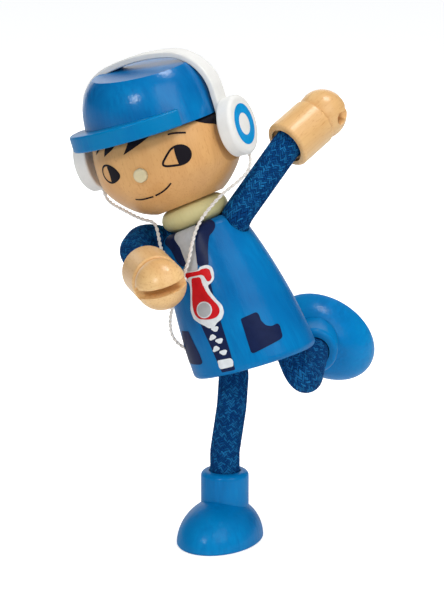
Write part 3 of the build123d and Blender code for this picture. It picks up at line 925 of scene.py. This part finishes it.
def braid_look():
    """Braided cotton: strands over two and under two, each stroke of a strand its own blue, and painted
    shade between strands.
    """
    look = Look("braided_cotton", 0.85, Specular_IOR_Level=0.05)
    uv = look.node("ShaderNodeUVMap", {"uv_map": "along"}).outputs[0]
    split = look.node("ShaderNodeSeparateXYZ", Vector=uv)
    u, v = split.outputs[0], split.outputs[1]
    a, b = look.sum("ADD", u, v), look.sum("SUBTRACT", u, v)
    cell_a, cell_b = look.sum("FLOOR", a), look.sum("FLOOR", b)
    over = look.sum("LESS_THAN", look.sum("FLOORED_MODULO", look.sum("ADD", cell_a, cell_b), 4.0), 2.0)
    fract_a, fract_b = look.sum("FRACT", a), look.sum("FRACT", b)
    across = look.sum("MULTIPLY_ADD", look.sum("SUBTRACT", fract_a, fract_b), over, fract_b)
    swell = look.sum("SINE", look.sum("MULTIPLY", across, math.pi))
    yarn = look.sum("ABSOLUTE", look.sum("SINE", look.sum("MULTIPLY", across, 2 * math.pi)))
    height = look.sum("MULTIPLY_ADD", yarn, 0.15, look.sum("MULTIPLY", swell, 0.85))
    on_top = look.sum("MULTIPLY_ADD", look.sum("SUBTRACT", cell_a, cell_b), over, cell_b)
    run = look.sum("FLOOR", look.sum("MULTIPLY", look.sum("ADD", cell_a, cell_b), 0.25))
    stroke = look.node("ShaderNodeCombineXYZ", X=on_top, Y=run, Z=over).outputs[0]
    chance = look.node("ShaderNodeTexWhiteNoise", Vector=stroke).outputs["Value"]
    fibre = look.noise(look.node("ShaderNodeCombineXYZ", X=a, Y=b, Z=over).outputs[0], 3.4, 3.0, 0.7)
    patch = look.noise(look.node("ShaderNodeCombineXYZ", X=u, Y=v).outputs[0], 0.4, 1.0)
    stroke_blue = look.mix(look.between(chance, 0.25, 1.0), BRAID_BLUE, BRAID_LIGHT)
    # Painted shade: the low parts of the braid, its gaps and the edges of its strands, go dark
    tint = look.mix(look.between(height, 0.1, 0.7), BRAID_DARK_AND_SHADE, stroke_blue)
    tint = look.mix(look.sum("MULTIPLY", look.between(fibre, 0.45, 0.75), 0.7), tint, BRAID_DARK_AND_SHADE)
    fluff = look.noise(look.place(BODY_PLACE), 4.5, 4.0, 0.75)
    tint = look.mix(look.sum("MULTIPLY", look.between(fluff, 0.55, 0.7), 0.3), tint, BRAID_FLUFF)
    tint = look.mix(look.sum("MULTIPLY", look.between(patch, 0.5, 0.75), 0.25), tint, BRAID_DARK_AND_SHADE)
    look.colour(tint)
    look.bump(look.sum("MULTIPLY_ADD", fibre, 0.25, height), 0.2, 0.8)
    return look.material


def string_look():
    """White cotton string, with a little painted shade between its fibres."""
    look = Look("white_string", 0.75, Sheen_Weight=0.2)
    uv = look.node("ShaderNodeUVMap", {"uv_map": "along"}).outputs[0]
    slanted = look.node("ShaderNodeMapping", Vector=uv)
    slanted.inputs["Scale"].default_value = (3.0, 0.8, 1.0)
    slanted.inputs["Rotation"].default_value = (0, 0, 0.6)
    fibre = look.noise(slanted.outputs[0], 2.2, 2.0)
    look.colour(look.mix(look.between(fibre, 0.4, 0.75), STRING_WHITE, STRING_SHADE))
    look.bump(fibre, 0.05, 0.6)
    return look.material


def metal_look():
    """Soft drawn wire."""
    look = Look("drawn_wire", 0.35, Metallic=1.0)
    drawn = look.noise(look.place(BODY_PLACE, (1, 1, 0.1)), 6.0, 2.0)
    look.colour(look.mix(drawn, METAL, shaded(METAL, 0.7)))
    return look.material


NOSE_PLACE = (HEAD_PLACE[0], HEAD_PLACE[2], HEAD_PLACE[3], HEAD_PLACE[1])  # its grain runs sideways
boot_colours = (BOOT_BLUE, BOOT_BLUE_LIGHT, BLUE)
white_paint = plain_paint("white_paint_look", WHITE, 0.45, 0.15, 0.015)
looks = {
    "torso": painted("jacket_paint_look", BODY_PLACE, BLUE, BLUE_LIGHT, BLUE_DEEP),
    "cap_crown": painted("crown_paint_look", CROWN_PLACE, BLUE, BLUE_LIGHT, BLUE_DEEP, coat=0.45),
    "cap_visor": painted("visor_paint_look", CROWN_PLACE, VISOR_BLUE, VISOR_BLUE, BLUE),
    "right_shoe": painted("right_boot_paint", RIGHT_BOOT_PLACE, *boot_colours, coat=0.18),
    "left_shoe": painted("left_boot_paint", LEFT_BOOT_PLACE, *boot_colours, coat=0.18),
    "head": varnished("face_wood_look", HEAD_PLACE, FACE_WOOD, FACE_WOOD_DARK),
    "nose_peg": varnished("nose_wood_look", NOSE_PLACE, NOSE_WOOD, shaded(NOSE_WOOD, 0.8), 0.3),
    "left_hand": varnished("left_hand_wood", LEFT_HAND_PLACE, HAND_WOOD, HAND_WOOD_DARK, 0.4, 0.5),
    "right_hand": varnished("right_hand_wood", RIGHT_HAND_PLACE, HAND_WOOD, HAND_WOOD_DARK, 0.4, 0.5),
    "collar": varnished("collar_wood_look", BODY_PLACE, COLLAR_WOOD, shaded(COLLAR_WOOD, 0.8), 0.2, 0.1),
    "headband": white_paint,
    "left_earcup": white_paint,
    "right_earcup": white_paint,
}
looks["right_boot_cuff"] = looks["right_shoe"]
looks["left_boot_cuff"] = looks["left_shoe"]
bare_wood = varnished("bare_wood_look", BODY_PLACE, BARE_WOOD, shaded(BARE_WOOD, 0.7), 0.3, 0.0)
for node in ("neck_dowel", "cap_dowel", "left_ear_peg", "right_ear_peg"):
    looks[node] = bare_wood
for node, look in looks.items():
    dress(nodes[node], look)
braid, string, metal = braid_look(), string_look(), metal_look()
for piece in sleeves:
    dress(piece, braid)
for piece in cores:
    dress(piece, metal)
for piece in lead_nodes.values():
    dress(piece, string)

inks = {
    "black": plain_paint("black_ink", BLACK, 0.45, 0.1, 0.02),
    "navy": plain_paint("navy_ink", NAVY, 0.42, 0.15),
    "red": plain_paint("red_ink", RED, 0.4, 0.2),
    "white": plain_paint("white_ink", INK_WHITE, 0.42, 0.15),
    "grey": plain_paint("grey_ink", PALE_GREY, 0.45, 0.15),
    "ring": plain_paint("ring_ink", RING_BLUE, 0.4, 0.2),
}


# Prints
class Turned:
    """A turned piece that carries prints."""

    def __init__(self, node, body, place, radius, slot, grid, brim):
        mesh = nodes[node].data
        polygons = [tuple(polygon.vertices) for polygon in mesh.polygons]
        self.tree = BVHTree.FromPolygons([vertex.co for vertex in mesh.vertices], polygons)
        self.origin = Vector(metres(place[0]))
        self.left, self.back, self.up = (Vector(axis) for axis in place[1:])
        self.body, self.radius, self.slot, self.grid, self.brim = body, radius, slot, grid, brim
        self.brim_reach = self.reach(0.0, brim)

    def reach(self, angle, height):
        """How far the surface is from the axis at an angle and a height."""
        hit, _ = self.surface(angle, height)
        level = hit - self.origin - self.up * height * MM
        return level.length / MM

    def surface(self, angle, height):
        """The point of the surface at an angle and a height, and its normal there."""
        out = self.left * math.sin(angle) - self.back * math.cos(angle)
        if height > self.brim:
            inward = self.brim_reach - (height - self.brim)
            start = self.origin + (out * inward + self.up * (height + RAY_REACH)) * MM
            hit, normal, _, _ = self.tree.ray_cast(start, -self.up)
        else:
            start = self.origin + (out * RAY_REACH + self.up * height) * MM
            hit, normal, _, _ = self.tree.ray_cast(start, -out)
        return hit, normal

    def flat(self, outline):
        """An outline in degrees and millimetres as one in millimetres both ways."""
        return [Vector((math.radians(turn) * self.radius, height)) for turn, height in outline]

    def wrapped(self, name, flat_points, faces, layer, ink):
        """A print on the surface, from points and faces drawn flat."""
        points = []
        for point in flat_points:
            hit, normal = self.surface(point[0] / self.radius, point[1])
            points.append(hit + normal * (PRINT_LIFT * layer * MM))
        piece = mesh_piece(name, points, faces)
        dress(piece, inks[ink])
        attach(piece, self.body)
        return piece

    def shape(self, name, outline, ink, layer=1, soft=0.5):
        """A filled print with softened corners, cut by a grid so that it follows the surface."""
        flat = softened(self.flat(outline), soft)
        drawing = bmesh.new()
        drawing.faces.new([drawing.verts.new((p.x, p.y, 0)) for p in flat])
        bmesh.ops.triangulate(drawing, faces=drawing.faces[:])
        for axis in range(2):
            low, high = min(p[axis] for p in flat), max(p[axis] for p in flat)
            square = (1, 0, 0) if axis == 0 else (0, 1, 0)
            for step in range(1, math.ceil((high - low) / self.grid)):
                everything = drawing.verts[:] + drawing.edges[:] + drawing.faces[:]
                place = [value * (low + step * self.grid) for value in square]
                bmesh.ops.bisect_plane(drawing, geom=everything, plane_co=place, plane_no=square)
        drawing.normal_update()
        for face in drawing.faces:
            if face.normal.z < 0:
                face.normal_flip()
        drawing.verts.index_update()
        points = [tuple(v.co) for v in drawing.verts]
        faces = [tuple(v.index for v in face.verts) for face in drawing.faces]
        drawing.free()
        return self.wrapped(name, points, faces, layer, ink)

    def stroke(self, name, path, width, ink, closed=False):
        """A printed line of one width."""
        line = softened(self.flat(path), STROKE_SOFTNESS, closed)
        count = len(line)
        left, right = [], []
        for i, point in enumerate(line):
            after = line[(i + 1) % count] if closed or i < count - 1 else point
            before = line[i - 1] if closed or i else point
            way = (after - before).normalized()
            side = Vector((-way.y, way.x)) * width / 2
            left.append(point + side)
            right.append(point - side)
        points = [p for pair in zip(left, right) for p in pair]
        faces = []
        for i in range(count if closed else count - 1):
            a, b = 2 * i, 2 * ((i + 1) % count)
            faces.append((a, a + 1, b + 1, b))
        return self.wrapped(name, points, faces, 1, ink)


def softened(points, soft, closed=True):
    """Points with a short curve at each corner, which starts and ends at most soft away."""
    out = []
    for i, corner in enumerate(points):
        if not closed and i in (0, len(points) - 1):
            out.append(corner)
            continue
        before, after = points[i - 1], points[(i + 1) % len(points)]
        come = corner + (before - corner) * min(0.5, soft / (before - corner).length)
        go = corner + (after - corner) * min(0.5, soft / (after - corner).length)
        for share in np.linspace(0, 1, CORNER_STEPS + 1):
            out.append(come * (1 - share) ** 2 + corner * 2 * share * (1 - share) + go * share**2)
    kept = [p for i, p in enumerate(out) if i == 0 or (p - out[i - 1]).length > TOUCHING]
    if closed and (kept[0] - kept[-1]).length < TOUCHING:
        kept.pop()
    return kept


def disc(centre, radius):
    """A round outline on the torso, in degrees and millimetres."""
    turn = math.degrees(radius / TORSO_PRINT_RADIUS)
    return [
        (centre[0] + turn * math.cos(angle), centre[1] + radius * math.sin(angle))
        for angle in circle(DISC_SIDES)
    ]


face = Turned("head", "head", HEAD_PLACE, HEAD_PRINT_RADIUS, "face_wood", HEAD_PRINT_GRID, HEAD_BRIM)
face.stroke("left_eye_line", LEFT_EYE, INK_WIDTH, "black", closed=True)
face.shape("left_iris", LEFT_IRIS, "black", soft=0.9)
face.stroke("right_eye_line", RIGHT_EYE, INK_WIDTH, "black", closed=True)
face.shape("right_iris", RIGHT_IRIS, "black", soft=0.9)
face.stroke("eyebrow", EYEBROW, FINE_INK_WIDTH, "black")
for number, part in enumerate(SMILE):
    face.stroke(f"smile_{number + 1}", part, FINE_INK_WIDTH, "black")
for number, spike in enumerate(FRINGE):
    face.shape(f"fringe_{number + 1}", spike, "black", soft=0.12)
face.shape("hair", HAIR, "black", soft=1.5)

jacket = Turned(
    "torso", "body", BODY_PLACE, TORSO_PRINT_RADIUS, "jacket_paint", TORSO_PRINT_GRID, TORSO_BRIM
)
jacket.shape("shirt_front", SHIRT, "grey", soft=0.25)
jacket.shape("left_lapel", LEFT_LAPEL, "navy", 2)
jacket.shape("right_lapel", RIGHT_LAPEL, "navy", 2)
jacket.shape("zip_tape", TAPE, "navy", soft=0.25)
jacket.shape("zip_slider_edge", SLIDER_EDGE, "white", 3)
jacket.shape("zip_slider_hook", SLIDER_HOOK, "red", 4, soft=0.25)
jacket.shape("zip_pull", SLIDER_PULL, "red", 4)
jacket.shape("zip_pull_ring", disc(PULL_HOLE, PULL_RING_RADIUS), "white", 5, soft=0.6)
jacket.shape("zip_pull_hole", disc(PULL_HOLE, PULL_HOLE_RADIUS), "grey", 6, soft=0.6)
for side, upwards, teeth in (("right", 1, RIGHT_TEETH), ("left", -1, LEFT_TEETH)):
    for number, (turn, height) in enumerate(teeth):
        tooth = [(turn + u, height + upwards * v) for u, v in TOOTH]
        jacket.shape(f"zip_tooth_{side}_{number + 1}", tooth, "white", 2, soft=0.25)
jacket.shape("zip_stop", STOP, "white", 2, soft=0.3)
jacket.shape("left_pocket", LEFT_POCKET, "navy", soft=0.35)
jacket.shape("right_pocket", RIGHT_POCKET, "navy", soft=0.35)


def ear_ring(name, side):
    """The printed ring on the outer face of an earcup."""
    origin = Vector(metres(HEAD_PLACE[0]))
    left, back, up = (Vector(axis) for axis in HEAD_PLACE[1:])
    centre = origin + (left * side * EAR_FACE + up * EAR_HEIGHT) * MM
    points, faces = [], []
    for radius in EAR_RING:
        for angle in circle(EAR_RING_SIDES):
            points.append(centre + (back * math.cos(angle) + up * math.sin(angle)) * radius * MM)
    for k in range(EAR_RING_SIDES):
        after = (k + 1) % EAR_RING_SIDES
        faces.append((k, after, after + EAR_RING_SIDES, k + EAR_RING_SIDES))
    piece = mesh_piece(name, points, faces)
    dress(piece, inks["ring"])
    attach(piece, "head")


ear_ring("left_ear_ring", 1)
ear_ring("right_ear_ring", -1)


# Studio
def area_light(name, place, size, power):
    """A soft square light that faces the doll's middle, with lengths in millimetres."""
    data = bpy.data.lights.new(name, "AREA")
    data.shape = "SQUARE"
    data.size = size * MM
    data.energy = power
    lamp = bpy.data.objects.new(name, data)
    bpy.context.scene.collection.objects.link(lamp)
    lamp.location = metres(place)
    way = Vector(metres(MIDDLE)) - lamp.location
    lamp.rotation_euler = way.to_track_quat("-Z", "Y").to_euler()
    lamp.visible_camera = False


floor_sides = ((-1, -1), (1, -1), (1, 1), (-1, 1))
floor_corners = [(x * FLOOR_HALF, y * FLOOR_HALF, -FLOOR_DROP) for x, y in floor_sides]
floor = mesh_piece("floor", metres(floor_corners), [(0, 1, 2, 3)])
floor_look = Look("pale_floor", 0.9, Emission_Color=(1, 1, 1, 1))
floor_look.colour(FLOOR)
seen = floor_look.node("ShaderNodeLightPath").outputs["Is Camera Ray"]
glow = floor_look.sum("MULTIPLY", seen, FLOOR_GLOW)
floor_look.feed(floor_look.shader.inputs["Emission Strength"], glow)
dress(floor, floor_look.material)

for name, (place, size, power) in LIGHTS.items():
    area_light(name, place, size, power)

world = bpy.data.worlds.new("studio")
bpy.context.scene.world = world
world.use_nodes = True
backdrop = world.node_tree.nodes["Background"]
backdrop.inputs["Color"].default_value = (*BACKDROP, 1.0)
looked_at = world.node_tree.nodes.new("ShaderNodeLightPath").outputs["Is Camera Ray"]
strength = world.node_tree.nodes.new("ShaderNodeMapRange")
strength.inputs["To Min"].default_value = WORLD_LIGHT
strength.inputs["To Max"].default_value = WORLD_SEEN
world.node_tree.links.new(looked_at, strength.inputs["Value"])
world.node_tree.links.new(strength.outputs[0], backdrop.inputs["Strength"])
world.cycles_visibility.glossy = False
bpy.context.scene.view_settings.view_transform = "Standard"
